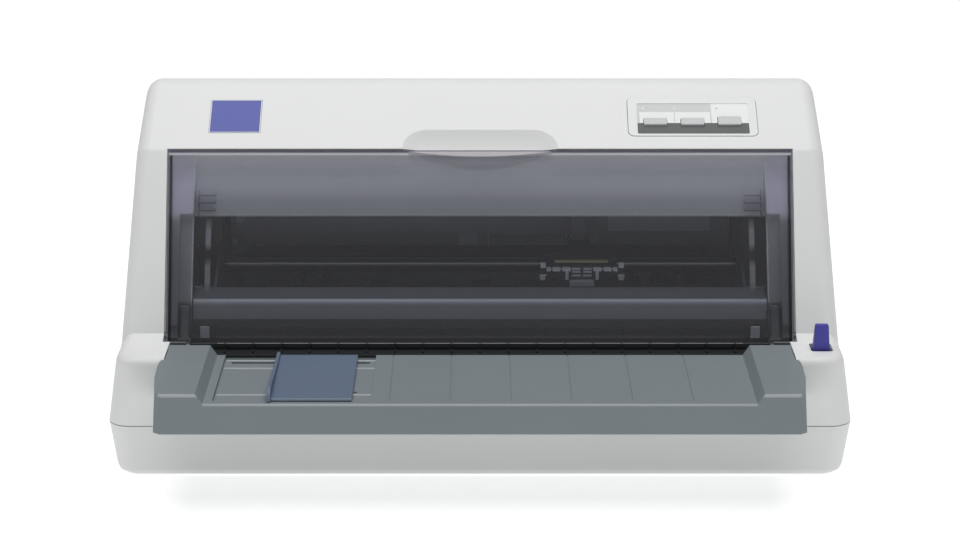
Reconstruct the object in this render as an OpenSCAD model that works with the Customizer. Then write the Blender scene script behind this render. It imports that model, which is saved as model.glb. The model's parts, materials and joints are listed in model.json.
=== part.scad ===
// Flatbed dot matrix printer: cover closed, print carriage parked right of centre.
// X is the width, -Y the front where sheets enter, Z is up. The origin lies on the
// table, midway between the two sides and between the tray lip and the rear wall.

/* [Case] */
// Overall width of the case at its seam
case_w = 468; // [464:1:472]
// Y of the flat front face of the case
front_y = -107.5; // [-109:0.5:-106]
// Y of the rear wall
rear_y = 167.5; // [166:0.5:169]
// Height of the seam between the lower and the upper case
seam_z = 33.7; // [33:0.1:35]
// Height of the flat shoulders beside the tray
shoulder_z = 78.4; // [78:0.1:79]
// Wall thickness of both case shells
wall = 3; // [2.6:0.1:3.2]
// Width of the opening behind the cover
window_w = 370.4; // [366:0.2:372]

/* [Cover] */
// Angle of the closed cover from the horizontal
cover_slope = 60; // [59.5:0.1:60.5]
// Width of the clear cover
cover_w = 402.4; // [400:0.2:403]
// Length of the clear cover from its lower to its upper edge
cover_l = 126.2; // [124:0.2:126.4]
// Thickness of the clear cover
cover_t = 3; // [2.5:0.1:3]
// Diameter of the cover's two hinge pins
cover_pin_d = 3; // [2.6:0.1:3]

/* [Top panel] */
// Angle of the button panel from the horizontal
panel_slope = 34; // [33.5:0.1:34.5]
// Width of a button cap
button_w = 15; // [13:0.5:15.5]
// Travel of a button, also its clearance over the switch
button_travel = 0.8; // [0.5:0.1:0.8]

/* [Tray] */
// Y of the tray's front lip
tray_front_y = -167.5; // [-169:0.5:-164]
// Height of the sheet-carrying floor of the tray
tray_floor_z = 72.4; // [72:0.1:72.6]
// Pitch of the narrow ribs on the tray floor
tray_rib_pitch = 36.4; // [34:0.2:38]

/* [Mechanism] */
// Height of the flat paper path
path_z = 72.6; // [72.4:0.1:72.8]
// X of the parked carriage
carriage_x = 67; // [40:1:68]
// Diameter of the carriage rod
rod_d = 10; // [9:0.5:10]
// Gear module
gear_m = 0.8; // [0.78:0.01:0.8]
// Diameter of the feed roller shafts
roller_shaft_d = 6; // [5:0.5:6]
// Distance of each tractor unit from the middle
tractor_x = 118; // [90:1:120]

/* [Hidden] */
$fn = 48;

hw = case_w/2;
fit = 0.05;                       // running fit of shafts in bores, per side
white = "#e8e9e9"; tray_grey = "#747e85"; dark = "#26282b"; steel = "#a9acb0";
smoke = "#6b6a78"; blue = "#3a3f9e"; board_green = "#2f6b45"; pale = "#cfd2d2";

// the cover plane starts where it meets the shoulder
hinge_y0 = -68.5;
top_s = 124.0;                    // slope length up to the edge of the top panel
edge_y = hinge_y0 + top_s*cos(60);
edge_z = shoulder_z + top_s*sin(60);
module cover_cs() { translate([0, hinge_y0, shoulder_z]) rotate([cover_slope, 0, 0]) children(); }
module panel_cs() { translate([0, edge_y, edge_z]) rotate([panel_slope, 0, 0]) children(); }
// where the two case halves are screwed together
tower_xy = [[-205, -60], [205, -60], [-214, 146], [214, 146]];
// axis of the cover hinge, in the cover's own plane
pin_s = 1.5; pin_n = -1.5;
pin_r = cover_pin_d/2;

module box(x0, x1, y0, y1, z0, z1) { translate([x0, y0, z0]) cube([x1-x0, y1-y0, z1-z0]); }
module xrod(x0, x1, y, z, r) { translate([x0, y, z]) rotate([0, 90, 0]) cylinder(r = r, h = x1-x0); }
module yrod(x, y0, y1, z, r) { translate([x, y0, z]) rotate([-90, 0, 0]) cylinder(r = r, h = y1-y0); }
module zrod(x, y, z0, z1, r) { translate([x, y, z0]) cylinder(r = r, h = z1-z0); }
module both() { children(); mirror([1, 0, 0]) children(); }
module yz_profile(x0, x1, pts) { translate([x0, 0, 0]) rotate([90, 0, 90]) linear_extrude(x1-x0) polygon(pts); }
module xz_profile(y0, y1, pts) { translate([0, y1, 0]) rotate([90, 0, 0]) linear_extrude(y1-y0) polygon(pts); }
function arc(cx, cy, r, a0, a1, n) = [for (i = [0:n]) let (a = a0+(a1-a0)*i/n) [cx+r*cos(a), cy+r*sin(a)]];
function rrect(x0, y0, x1, y1, r, n = 6) = concat(arc(x1-r, y1-r, r, 0, 90, n), arc(x0+r, y1-r, r, 90, 180, n),
    arc(x0+r, y0+r, r, 180, 270, n), arc(x1-r, y0+r, r, 270, 360, n));

// one thin rounded slab of a case section, for hulls only
module slab(h, y0, y1, r, z) {
  for (x = [-h+r, h-r]) for (y = [y0+r, y1-r]) translate([x, y, z]) cylinder(r = r, h = 0.01, $fn = 32);
}
module ball_row(h, y, z, r) { for (x = [-h+10, h-10]) translate([x, y, z]) sphere(r = r, $fn = 28); }
// half width of the upper body, which draws in towards the top
function body_h(z) = hw - 4.8 - (z-78)*0.058;

// ---------------------------------------------------------------- case
module lower_outer(d) {
  hull() {
    slab(hw-8.5-d, front_y+1.8+d, rear_y-3-d, 10, 0.7+d*1.43);
    slab(hw-5.4-d, front_y+0.9+d, rear_y-1.6-d, 12, 2.2+d*1.3);
    slab(hw-3.8-d, front_y+0.4+d, rear_y-0.8-d, 14-d/2, 5+d);
    slab(hw-d, front_y+d, rear_y-d, 14-d/2, seam_z-0.31);
  }
}
module lower_case() {
  color(white) difference() {
    union() {
      difference() {
        lower_outer(0);
        difference() {
          lower_outer(wall);
          // posts that the chassis and the upper case screw to
          for (p = tower_xy) zrod(p[0], p[1], 0, 60, 6);
          zrod(213.6, -87, 0, 60, 5);
          for (x = [-150, 150]) for (y = [-48, 120]) zrod(x, y, 0, 60, 7);
        }
        box(-300, 300, -200, 250, seam_z-0.3, 60);
        for (x = [-150, 150]) for (y = [-48, 120]) zrod(x, y, 12, 60, 8);
        // vent slots in the floor
        for (i = [-6:6]) box(i*14-3, i*14+3, 30, 80, 0, 8);
      }
      // alignment lip that stands inside the upper case
      for (x = [-1, 1]) box(x*228.6-0.9, x*228.6+0.9, -80, 140, 20, seam_z+4);
    }
    for (p = tower_xy) { zrod(p[0], p[1], -1, 60, 1.7); zrod(p[0], p[1], -1, 9, 3.4); }
    for (x = [-150, 150]) for (y = [-48, 120]) zrod(x, y, 5, 20, 1.4);
    for (x = [-196, 196]) for (y = [-80, 140]) zrod(x, y, 0, 3.5, 8.1);
    // rear cut-outs for the inlet, the switch and the ports
    box(-206, -178, 150, 180, 12.6, 60);
    box(84, 158, 150, 180, 24, 60);
  }
}
module upper_outer() {
  hull() {
    slab(hw, front_y, rear_y, 14, seam_z+0.31);
    slab(hw-6.1, front_y, rear_y, 14, shoulder_z-5);
    slab(hw-6.9, front_y+0.7, rear_y, 13.6, shoulder_z-2.5);
    slab(hw-9, front_y+2.5, rear_y, 12.4, shoulder_z-0.7);
    slab(hw-11.8, front_y+5, rear_y, 10, shoulder_z-0.01);
  }
  body_hull(10, 0);
  // two narrow ramps make the hollow curve between shoulder and cover plane
  hull() { ball_row(body_h(80), -76.6, 66.85, 10); ball_row(body_h(85), -46.6, 77.8, 10); }
  hull() { ball_row(body_h(80), -72.6, 63.2, 10); ball_row(body_h(88), -46.6, 84.9, 10); }
}
module body_hull(r, dz) {
  hull() {
    ball_row(body_h(64), -68.2, 59+dz, r);
    ball_row(body_h(178.8), edge_y+7.5, edge_z-7, r);
    ball_row(body_h(205), 40.2, 205.2, r);
    ball_row(body_h(207), 45.0, 207.5, r);
    ball_row(body_h(208), 50.3, 208.3, r);
    ball_row(body_h(207), 55.3, 207.6, r);
    ball_row(body_h(178), rear_y-10, 178.3, r);
    ball_row(body_h(64), rear_y-10, 59+dz, r);
  }
}
module upper_backing() {
  // what stays solid behind the cover recess and the finger scoop
  cover_cs() box(-cover_w/2-4.4, cover_w/2+4.4, -24, top_s+4, -13, 4);
  cover_cs() box(-50, 50, 100, top_s+4, -17.4, 0);
  panel_cs() box(-54, 54, -8, 24, -8.5, 2);
  both() box(cover_w/2+0.5, cover_w/2+8.5, -76, -56, 70, 90);
  // floor and side walls of the channel that the tray's rear sits in
  box(-199.3, 199.3, front_y-1, -50, 63.4, 66.4);
  both() box(196.3, 199.3, front_y-1, -50, 63.4, 90);
  box(-199.3, 199.3, front_y-1, front_y+3, 40, 70);
  // screw towers
  for (p = tower_xy) zrod(p[0], p[1], 0, p[1] < 0 ? 80 : 70, 5.4);
  both() box(214, 236, 145, 147, 30, 70);
  // closed pocket behind the feed knob
  xrod(214.5, 240, 34, 66.2, 21.2);
  // seat of the rear door hinge
  both() box(160.6, 168, rear_y-9, rear_y, 126, 144);
}
module upper_case() {
  color(white) difference() {
    upper_outer();
    difference() {
      union() {
        hull() {
          slab(hw-wall, front_y+wall, rear_y-wall, 11, seam_z-1);
          slab(hw-6.1-wall, front_y+wall, rear_y-wall, 11, shoulder_z-5.5);
          slab(hw-11-wall, front_y+4+wall, rear_y-wall, 9, shoulder_z-wall);
        }
        body_hull(7, 0);
        box(-214, 214, -60, rear_y-wall-0.01, 30, 70);
      }
      upper_backing();
    }
    // recess for the cover, deeper in the middle and round the hinge
    cover_cs() {
      translate([0, 0, -4.6]) linear_extrude(10.6) polygon([[-cover_w/2+0.2, -5], [cover_w/2-0.2, -5], [cover_w/2+1.1, top_s+0.4], [-cover_w/2-1.1, top_s+0.4]]);
      box(-cover_w/2+0.2, cover_w/2-0.2, -7, 9, -7.2, 6);
      box(-193.4, 193.4, -7, 82.2, -9.6, 6);
      box(-184.3, 184.3, 80, 122, -9.6, 6);
      // crescent pocket under the grip lip
      intersection() {
        translate([0, 200.8, -14.6]) cylinder(r1 = 84, r2 = 89.3, h = 5.1);
        box(-60, 60, 100, 122, -15, -9);
      }
      box(-window_w/2, window_w/2, -2, 82.2, -40, 6);
    }
    // channel for the tray and the sheet
    box(-196.3, 196.3, front_y-2, -77.6, 66.4, 84);
    box(-186, 186, -80, -40, 66.4, 84);
    // finger scoop over the middle of the cover
    hull() panel_cs() for (x = [-34, 34]) translate([x, 0, 24.5]) sphere(r = 29.6, $fn = 48);
    // pin bores of the cover hinge
    cover_cs() both() xrod(cover_w/2-1.4, cover_w/2+7, pin_s, pin_n, pin_r+fit);
    // pocket and cut-out of the control panel, badge pocket
    panel_cs() {
      translate([0, 0, -2.2]) linear_extrude(6) polygon(rrect(96.3, 10.8, 181.3, 44.6, 4.2));
      box(100.5, 177, 14.5, 40, -30, 2);
      box(-176.7, -142.9, 13.8, 42.8, -0.9, 3);
    }
    // slot of the release lever
    translate([0, 0, shoulder_z-6]) linear_extrude(10) polygon(rrect(207.6, -92.9, 221.2, -78.6, 1.6, 4));
    // hook slots for the tray
    both() box(118, 132, front_y-2, front_y+6, 57.8, 62.4);
    // clearance of the feed knob and its shaft
    xrod(217.5, 260, 34, 66.2, 18.2);
    xrod(176, 260, 34, 66.2, 4.2);
    // rear: paper and tractor opening, door seat, inlet, switch, ports
    box(-160.5, 160.5, rear_y-12, rear_y+5, 60, 138.6);
    both() xrod(155, 165.5, rear_y-3.1, 133, 2+fit);
    box(-206, -178, rear_y-12, rear_y+5, 20, 35.4);
    box(-207, -187, rear_y-12, rear_y+5, 38, 66);
    box(84, 158, rear_y-12, rear_y+5, 20, 50);
    for (p = tower_xy) zrod(p[0], p[1], 0, 56, 1.3);
    // vents in the left side
    for (i = [0:9]) box(-240, -210, 40+i*9, 44+i*9, 96, 128);
  }
}
module rubber_feet() {
  color("#333436") for (x = [-196, 196]) for (y = [-80, 140]) {
    zrod(x, y, 0, 3.45, 8);
  }
}
module case_screws() {
  color(steel) for (p = tower_xy) { zrod(p[0], p[1], 6.8, 8.9, 3); zrod(p[0], p[1], 8.8, 46, 1.25); }
  color(steel) for (x = [-150, 150]) for (y = [-48, 120]) { zrod(x, y, 13.35, 15.2, 3); zrod(x, y, 6, 13.4, 1.3); }
}

// ---------------------------------------------------------------- covers
module printer_cover() {
  color(smoke, 0.6) cover_cs() {
    translate([0, 0, -cover_t]) linear_extrude(cover_t) polygon([[-cover_w/2+2, -2.2], [cover_w/2-2, -2.2], [cover_w/2, -3+cover_l], [-cover_w/2, -3+cover_l]]);
    xrod(-cover_w/2+2, cover_w/2-2, -2.2, -cover_t/2, cover_t/2);
    // lower rim between the tray's ears, notched like a comb
    difference() {
      box(-167, 167, -3.6, -1.4, -cover_t, 0);
      for (i = [-9:9]) box(i*18-0.7, i*18+0.7, -4, -2.4, -4, 1);
    }
    // grip lip, a crescent under the finger scoop
    translate([0, 0, -0.1]) linear_extrude(2.3) polygon(arc(0, 450.8, 332.2, 262.04, 277.96, 24));
    both() {
      xrod(cover_w/2-4, cover_w/2+4.9, pin_s, pin_n, pin_r);
      // stiffening ribs with three short cross ridges, a flat band below them
      box(181.4, 182.8, 80, 98, -8.4, -cover_t+0.2);
      for (s = [84.2, 89.2, 94.2]) box(170.6, 182, s, s+2, -6.6, -cover_t+0.2);
      box(173, 176.6, 31, 79, -4.2, -cover_t+0.2);
      // hinge cheeks
      box(184.7, 186.1, 2, 24, -8.4, -cover_t+0.2);
      box(191.4, 192.8, 2, 24, -8.4, -cover_t+0.2);
      box(184.7, 192.8, 22.6, 24, -7.4, -cover_t+0.2);
    }
  }
}
module rear_door() {
  color(white) {
    difference() {
      box(-160, 160, rear_y-2.8, rear_y-0.4, 64, 129.6);
      for (i = [-9:9]) box(i*15-4, i*15+4, rear_y-6, rear_y+2, 96, 99);
    }
    xrod(-160, 160, rear_y-3.1, 133, 2.6);
    box(-160, 160, rear_y-3.9, rear_y-2.2, 129, 133);
    xrod(-165, -160.2+0.4, rear_y-3.1, 133, 2);
    xrod(159.8, 165, rear_y-3.1, 133, 2);
    for (x = [-120, -40, 40, 120]) box(x-0.8, x+0.8, rear_y-7, rear_y-2.7, 66, 126);
    box(-30, 30, rear_y-6.2, rear_y-2.7, 64, 65.6);
  }
}

// ---------------------------------------------------------------- tray
module front_tray() {
  zf = tray_floor_z; ze = shoulder_z; yr = -81.7; yf = -83.4; zb = 53; yb = front_y-0.5;
  color(tray_grey) difference() {
    union() {
      // raised ears, outline widening to the rear and stepping in between the shoulders
      for (m = [0, 1]) mirror([m, 0, 0]) difference() {
        hull() {
          translate([0, 0, ze-0.01]) linear_extrude(0.01) polygon([[172.4, tray_front_y], [190.3, tray_front_y], [194.2, tray_front_y+3.4],
            [197.7, -138.5], [198.5, -118], [198.2, -112], [197.4, yb], [172.4, yb]]);
          translate([0, 0, zb]) linear_extrude(0.01) polygon([[172.4, tray_front_y], [192, tray_front_y], [196.3, tray_front_y+3],
            [198.9, -138.5], [199.4, -118], [199.2, -112], [198.8, yb], [172.4, yb]]);
        }
        translate([0, 0, zb-0.1]) linear_extrude(ze-zb-2.5) polygon([[175.2, tray_front_y+3], [190.6, tray_front_y+3], [194.6, -140], [195.6, -118], [195, yb-2.6], [175.2, yb-2.6]]);
      }
      for (m = [0, 1]) mirror([m, 0, 0]) box(172.4, 195.4, yb-1, yr, 69, ze);
      // sloping inner face of each ear
      difference() {
        for (m = [0, 1]) mirror([m, 0, 0]) xz_profile(tray_front_y, yr, [[165.6, zf-1], [165.6, zf], [170, ze], [173, ze], [173, zf-1]]);
        yz_profile(-172.5, 172.5, [[yf, zf-4], [yf, zf], [yr, ze+0.2], [yr+3, ze+0.2], [yr+3, zf-4]]);
      }
      // floor with its lip
      box(-173, 173, tray_front_y, yf, zf-2.6, zf);
      box(-190.2, 190.2, tray_front_y, tray_front_y+2.8, zb, zf);
      box(-194, 194, yb-2.6, yb, zb, zf-1);
      // ribs under the floor
      for (x = [-150:50:150]) box(x-1, x+1, tray_front_y+2, yb-2, 58, zf-2);
      // hooks into the case
      for (m = [0, 1]) mirror([m, 0, 0]) { box(119, 131, yb-1, front_y+5.5, 58.4, 60.8); box(119, 131, front_y+3.4, front_y+5.5, 56.2, 60.8); }
      // pads on the channel floor
      for (x = [-180, -60, 60, 180]) box(x-6, x+6, -100, -86, 66.45, 70.2);
    }
    // sliding bed of the edge guide: shallow pocket, deeper rear groove, two slots
    box(-159.6, -65.4, -161.3, -84.4, zf-0.9, zf+1);
    box(-159.6, -65.4, -89.6, yf+1, zf-1.8, zf+1);
    box(-160.4, -159.2, -161.3, yf+1, zf-1.9, zf+1);
    box(-155.4, -69, -96.4, -93.8, zf-5, zf+1);
    box(-122.4, -74.6, -147.3, -144.7, zf-5, zf+1);
    // fine joints between the floor fields
    for (i = [0:5]) let (x = -54.2+i*tray_rib_pitch) box(x-0.35, x+0.35, tray_front_y+6, yf+1, zf-0.5, zf+1);
    // chamfers along the lip and the ear fronts
    yz_profile(-200, 200, [[tray_front_y-1, ze-1.6], [tray_front_y+1.8, ze+0.2], [tray_front_y-1, ze+1]]);
    yz_profile(-165.7, 165.7, [[tray_front_y-1, zf-1], [tray_front_y+1.1, zf+0.1], [tray_front_y-1, zf+1]]);
  }
  // beads across the sliding bed
  color(tray_grey) for (y = [-91.6, -105.4, -150.4]) yz_profile(-159, -65.2, [[y-0.9, zf-1], [y-0.3, zf-0.45], [y+0.7, zf-0.45], [y+0.9, zf-1]]);
}
module edge_guide() {
  zf = tray_floor_z-0.9;
  color("#5b6678") {
    box(-126, -76.7, -163.5, -87.4, zf+1.2, zf+2.6);
    box(-126, -78, -157, -88, zf+0.75, zf+1.3);
    // upright fence, low at the rear, with a rounded nose
    yz_profile(-127.4, -125.3, [[-87.4, zf+1.2], [-87.4, zf+4.6], [-113, zf+5.4], [-141, zf+7], [-153, zf+8.7],
      [-158, zf+8.8], [-161.8, zf+7.6], [-164.2, zf+5.4], [-165.4, zf+2.6], [-165.4, zf+1.2]]);
    // keys that run in the two slots
    box(-119, -83, -96.1, -94.1, zf-3.6, zf+0.9);
    box(-89, -83, -147, -145, zf-3.6, zf+0.9);
  }
}

// ---------------------------------------------------------------- lever
lever_y = -87; lever_z = 52;
module release_lever() {
  color(blue) {
    difference() {
      union() {
        xrod(208.4, 219.4, lever_y, lever_z, 5);
        translate([213.9, 0, 0]) rotate([0, 0, 0]) xz_taper();
      }
      xrod(200, 230, lever_y, lever_z, 2+fit);
    }
  }
}
// blade: wide foot, narrow rounded tip, leaning with the pivot
module xz_taper() {
  intersection() {
    xz_profile(-95, -80, [[-5.4, lever_z], [5.4, lever_z], [4.9, 82], [4.1, 94.2], [3.4, 95.2], [-3.4, 95.2], [-4.1, 94.2], [-4.9, 82]]);
    yz_profile(-8, 8, [[-90.4, lever_z], [-84.4, lever_z], [-86.0, 82], [-86.6, 93.6], [-87.4, 95], [-89.2, 95], [-90.2, 93.8], [-91.6, 82]]);
  }
}
module lever_pivot() {
  color(steel) difference() {
    union() {
      xrod(204.5, 223, lever_y, lever_z, 2);
      for (x = [204.5, 221.4]) box(x, x+1.6, -94, -80, 44, 58);
    }
    for (y = [-91, -83]) zrod(213.6, y, 40, 50, 0.9);
  }
  color(steel) { box(204.5, 223, -94, -80, 42.4, 44); box(210, 217.2, -91, -83, 33.45, 42.5); }
}

// ---------------------------------------------------------------- control panel
btn_x = [114.4, 138.7, 162.9];
led_x = [106.9, 127.2, 155.0];
module control_panel() {
  color(pale) panel_cs() difference() {
    union() {
      translate([0, 0, -2]) linear_extrude(2.4) polygon(rrect(96.7, 11.2, 180.9, 44.2, 3.8));
      for (x = [101.8, 175.7]) box(x-1, x+1, 16, 38, -12.4, -1.9);
    }
    translate([0, 0, -0.2]) linear_extrude(2) polygon(rrect(102.7, 12.9, 175.5, 39.2, 0.8, 2));
    for (i = [0:2]) box(btn_x[i]-button_w/2-0.3, btn_x[i]+button_w/2+0.3, 19.9, (i == 2 ? 27.3 : 26.0), -4, 2);
    for (x = led_x) translate([x, 35.1, -4]) cylinder(r = 1.25, h = 6);
  }
}
module button_cap(i) {
  color("#b9bdbf") panel_cs() {
    top = (i == 2 ? 27.0 : 25.7);
    difference() {
      box(btn_x[i]-button_w/2, btn_x[i]+button_w/2, 20.2, top, -6.4, 1.6);
      rotate([0, 0, 0]) yz_profile(btn_x[i]-10, btn_x[i]+10, [[19, 1.0], [21.6, 1.7], [19, 2]]);
      yz_profile(btn_x[i]-10, btn_x[i]+10, [[top+1, 1.0], [top-1, 1.7], [top+1, 2]]);
    }
    box(btn_x[i]-button_w/2-1.2, btn_x[i]+button_w/2+1.2, 20.2, top, -6.4, -5.2);
    translate([btn_x[i], 23, -8.9]) cylinder(r = 1.1, h = 2.6);
  }
}
module button_left() { button_cap(0); }
module button_middle() { button_cap(1); }
module button_right() { button_cap(2); }
module button_springs() {
  color(steel) panel_cs() for (x = btn_x) translate([x, 23, 0])
    for (s = [-1, 1]) translate([s*5.4, 0, -12.4]) difference() { cylinder(r = 1.5, h = 5.0); translate([0, 0, -1]) cylinder(r = 1.1, h = 8); }
}
module indicator_lenses() {
  color("#d9e4d4") panel_cs() for (x = led_x) translate([x, 35.1, -12.4]) cylinder(r = 1.15, h = 12.5);
}
module panel_board() {
  color(board_green) panel_cs() {
    box(99, 178.5, 14.5, 39.5, -14, -12.4);
    for (x = btn_x) box(x-3, x+3, 20, 26, -12.4, -9.8);
    box(150, 162, 30, 34.5, -17, -14);
  }
}
module badge_plate() {
  color(blue) panel_cs() box(-176.4, -143.2, 14.1, 42.5, -0.85, 0.15);
}

// ---------------------------------------------------------------- rear fittings
module switch_frame() {
  color(dark) difference() {
    box(-206.6, -187.4, rear_y-14, rear_y, 38.4, 65.6);
    box(-203.4, -190.6, rear_y-12, rear_y+3, 42, 62);
    xrod(-206, -188, rear_y-4.5, 52, 1+fit);
  }
}
module power_switch() {
  color("#3a3d40") {
    difference() {
      yz_profile(-203, -191, [[rear_y-9.5, 44.6], [rear_y-1.8, 43.2], [rear_y-2.4, 52], [rear_y-0.2, 60.8], [rear_y-9.5, 59.4]]);
      box(-200, -194, rear_y-12, rear_y-7, 46, 58);
    }
    xrod(-205.6, -188.4, rear_y-4.5, 52, 1);
  }
}
module ac_inlet() {
  color(dark) {
    difference() {
      box(-205.6, -178.4, rear_y-22, rear_y, 13, 35);
      box(-203.4, -180.6, rear_y-18, rear_y+3, 15.2, 32.8);
    }
  }
  color(steel) for (p = [[-199, 19], [-185, 19], [-192, 25]]) box(p[0]-1, p[0]+1, rear_y-20, rear_y-6, p[1], p[1]+5);
}
module interface_ports() {
  color(steel) {
    difference() {
      union() {
        box(84.4, 157.6, rear_y-3.4, rear_y-2.2, 24.4, 49.6);
        box(92, 134, rear_y-7, rear_y, 29, 43);
        box(140, 152.6, rear_y-7, rear_y-0.6, 30, 41.6);
      }
      box(93.4, 132.6, rear_y-5.6, rear_y+3, 30.4, 41.6);
      box(141, 151.6, rear_y-5.6, rear_y+3, 31, 40.6);
    }
  }
  color(dark) box(97, 129, rear_y-6, rear_y-1, 33, 36);
}

// ---------------------------------------------------------------- chassis
module base_plate() {
  color(steel) difference() {
    box(-178, 178, -56, 152, 12.1, 13.3);
    for (i = [-2:2]) box(i*48-19, i*48+19, 20, 100, 10, 20);
    for (x = [-150, 150]) for (y = [-48, 120]) zrod(x, y, 10, 20, 1.8);
  }
}
module frame_side() {
  // right-hand frame; its left twin is the mirror image
  difference() {
    yz_profile(171.4, 173.2, [[-44, 13.3], [150, 13.3], [150, 68], [120, 76], [86, 80], [86, 118], [66, 126], [40, 126], [6, 112], [-24, 100], [-25.8, 97], [-25.8, 75], [-44, 75]]);
    xrod(160, 190, 34, 78, 1.5+fit);
    xrod(160, 190, -34, 66.2, roller_shaft_d/2+fit);
    xrod(160, 190, 34, 66.2, roller_shaft_d/2+fit);
    xrod(160, 190, 22, rod_z, rod_d/2-1.5);
    // paper passes between the frames, so only light windows here
    yz_profile(160, 190, rrect(50, 84, 62, 112, 3, 4));
  }
}
module side_frame_right() {
  color(steel) difference() {
    frame_side();
    xrod(160, 190, 0, 39.4, 6.2);
    xrod(160, 190, tractor_y, 58, 4.3+fit);
  }
  // fixed stubs of the three loose gears
  color(steel) for (p = [[0, 66.2], [66, 66.2], [g3y, g3z]]) { xrod(173.1, 183.6, p[0], p[1], 3); xrod(173.1, 175.6, p[0], p[1], 5); }
}
module side_frame_left() {
  color(steel) difference() {
    mirror([1, 0, 0]) frame_side();
    xrod(-190, -160, tractor_y, 58, 4.3+fit);
  }
}
module rear_frame() {
  color("#56585c") difference() {
    union() {
      box(-171.4, 171.4, 70, 71.5, 86.8, 124);
      box(-171.4, 171.4, 64.7, 71.5, 119.5, 120.9);
      box(-171.4, 171.4, 70, 80, 122.6, 124);
      // pads and bosses on the face towards the cover
      box(-15, -1.4, 68.8, 70.1, 96, 105.2);
      yrod(-165, 68.6, 70.1, 115.6, 3);
      yrod(124, 68.2, 70.1, 93, 3.4);
      box(-170.4, -167.2, 68.4, 70.1, 106.4, 112);
      box(88, 158, 69.2, 70.1, 106.8, 117.2);
    }
    // long relief and light holes
    box(7.4, 31, 69, 72.6, 96.4, 103.6);
    box(33, 57.9, 69, 72.6, 96.4, 103.6);
  }
}
module front_guide_bar() {
  color(dark) difference() {
    union() {
      yz_profile(-184, 184, concat([[-43, 75.4], [-47.5, 78], [-48.6, 83.6], [-50, 84.6], [-50, 94]], arc(-47, 94, 3, 180, 90, 4), [[-28, 98.8], [-26.5, 97.6], [-26.5, 76.4], [-29, 75.4]]));
    }
    // hollow that holds the pinch rollers
    box(-168, 168, -41.4, -27.9, 70, 93.8);
    both() box(170, 190, -52, -20, 70, 80.2);
    both() xrod(160, 172, -34, 78, 1.5+fit);
  }
  color(dark) both() box(168, 171.4, -27, -18, 84, 95);
}
module lower_paper_guide() {
  color(dark) difference() {
    union() {
      box(-183, 183, -81.8, -12.4, 69.6, 71);
      for (i = [-9:9]) box(i*18-0.5, i*18+0.5, -76, -44, 70.9, 71.9);
      box(-169, 169, 12.4, 40, 69.6, 71);
      box(-130, 130, 39, 62, 69.6, 71);
      box(-183, 183, -60, -51, 66.5, 69.7);
      both() box(166.6, 171.4, -12.5, 12.5, 62.2, 71);
    }
    for (i = [-4:4]) { box(i*34-9.6, i*34+9.6, -41.4, -26.6, 60, 80); box(i*34-9.6, i*34+9.6, 26.6, 41.4, 60, 80); }
    both() box(170.6, 190, -48.6, -12, 60, 80);
  }
}
module platen() {
  color("#1d1e20") box(-166, 166, -7, 7, 64, 72.2);
  color(steel) { box(-166, 166, -9.4, 9.4, 61.9, 64); box(-171.4, 171.4, -9.4, 9.4, 59.6, 62); }
}

// ---------------------------------------------------------------- carriage
cx = carriage_x;
rod_z = 97.5;
module carriage_rod() {
  color("#6b6e73") { xrod(-171.3, 171.3, 22, rod_z, rod_d/2); both() xrod(171.2, 174.4, 22, rod_z, rod_d/2-1.55); }
}
module carriage() {
  color(dark) difference() {
    union() {
      box(cx-24, cx+24, 13, 31, 87, 103.6);
      // front plate with four corner tabs, its cheeks and feet
      box(cx-28.8, cx+28.8, -10.4, -7.6, 88, 102.6);
      for (s = [-1, 1]) { box(cx+s*25.6-1.2, cx+s*25.6+1.2, -9.6, -7.6, 102.5, 109.6); box(cx+s*25.6-1.7, cx+s*25.6+1.7, -11.2, -9.5, 106.3, 109.6); box(cx+s*25.6-1.7, cx+s*25.6+1.7, -11.4, -10.3, 98, 101.5); }
      for (s = [-1, 1]) box(cx+s*22.4-1.6, cx+s*22.4+1.6, -8, 14, 88, 96);
      for (s = [-1, 1]) box(cx+s*16-1.4, cx+s*16+1.4, -8, 14, 84, 101.6);
      // rear arm and post that hold the frame's upper flange
      box(cx-8, cx+8, 30, 61, 99.4, 103.6);
      box(cx-4, cx+4, 57.4, 61, 103.4, 124.4);
      box(cx-4, cx+4, 60.8, 67.6, 116.4, 119.1);
      box(cx-4, cx+4, 60.8, 67.6, 121.3, 124.4);
      // belt clamp
      box(cx-12, cx+12, 30.5, 53, 90.4, 91.8);
      box(cx-12, cx+12, 30.5, 48.2, 91, 99.5);
      box(cx-12, cx+12, 50.2, 53, 90.6, 99.5);
    }
    xrod(cx-40, cx+40, 22, rod_z, rod_d/2+fit);
    // relief windows in the front plate
    box(cx-24.2, cx-17.6, -12, -6, 96.4, 100.4);
    box(cx+17.6, cx+24.2, -12, -6, 96.4, 100.4);
    box(cx-8.6, cx+8.6, -12, -6, 93.4, 104);
  }
}
module print_head() {
  color("#8d9094") difference() {
    union() {
      box(cx-13, cx+13, -6.6, 10, 88, 102.6);
      // nose over the platen
      yz_profile(cx-6, cx+6, [[-5, 88.2], [-2.2, 75], [2.6, 75], [6.4, 88.2]]);
      box(cx-14, cx+14, -2, 8, 100, 102.6);
      // finned block in the middle and the plug below it
      box(cx-6.8, cx+6.8, -8, -2.4, 97.4, 105.2);
      box(cx-8, cx+8, -11.8, -6.5, 93.8, 97);
    }
    // cooling fins
    for (i = [-4, -3, 3, 4]) box(cx+i*2.7-0.75, cx+i*2.7+0.75, -8, -2.6, 90, 101);
    box(cx-0.7, cx+0.7, -9, -6.4, 97.2, 106);
    box(cx-7, cx+7, -9, -7, 100.8, 102);
    box(cx-7, cx+7, -9, -7.4, 99, 99.4);
    box(cx-7, cx+7, -9, -7.4, 103.5, 103.9);
    for (s = [-1, 1]) zrod(cx+s*11, 3, 98, 104, 1.2);
  }
}
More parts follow.
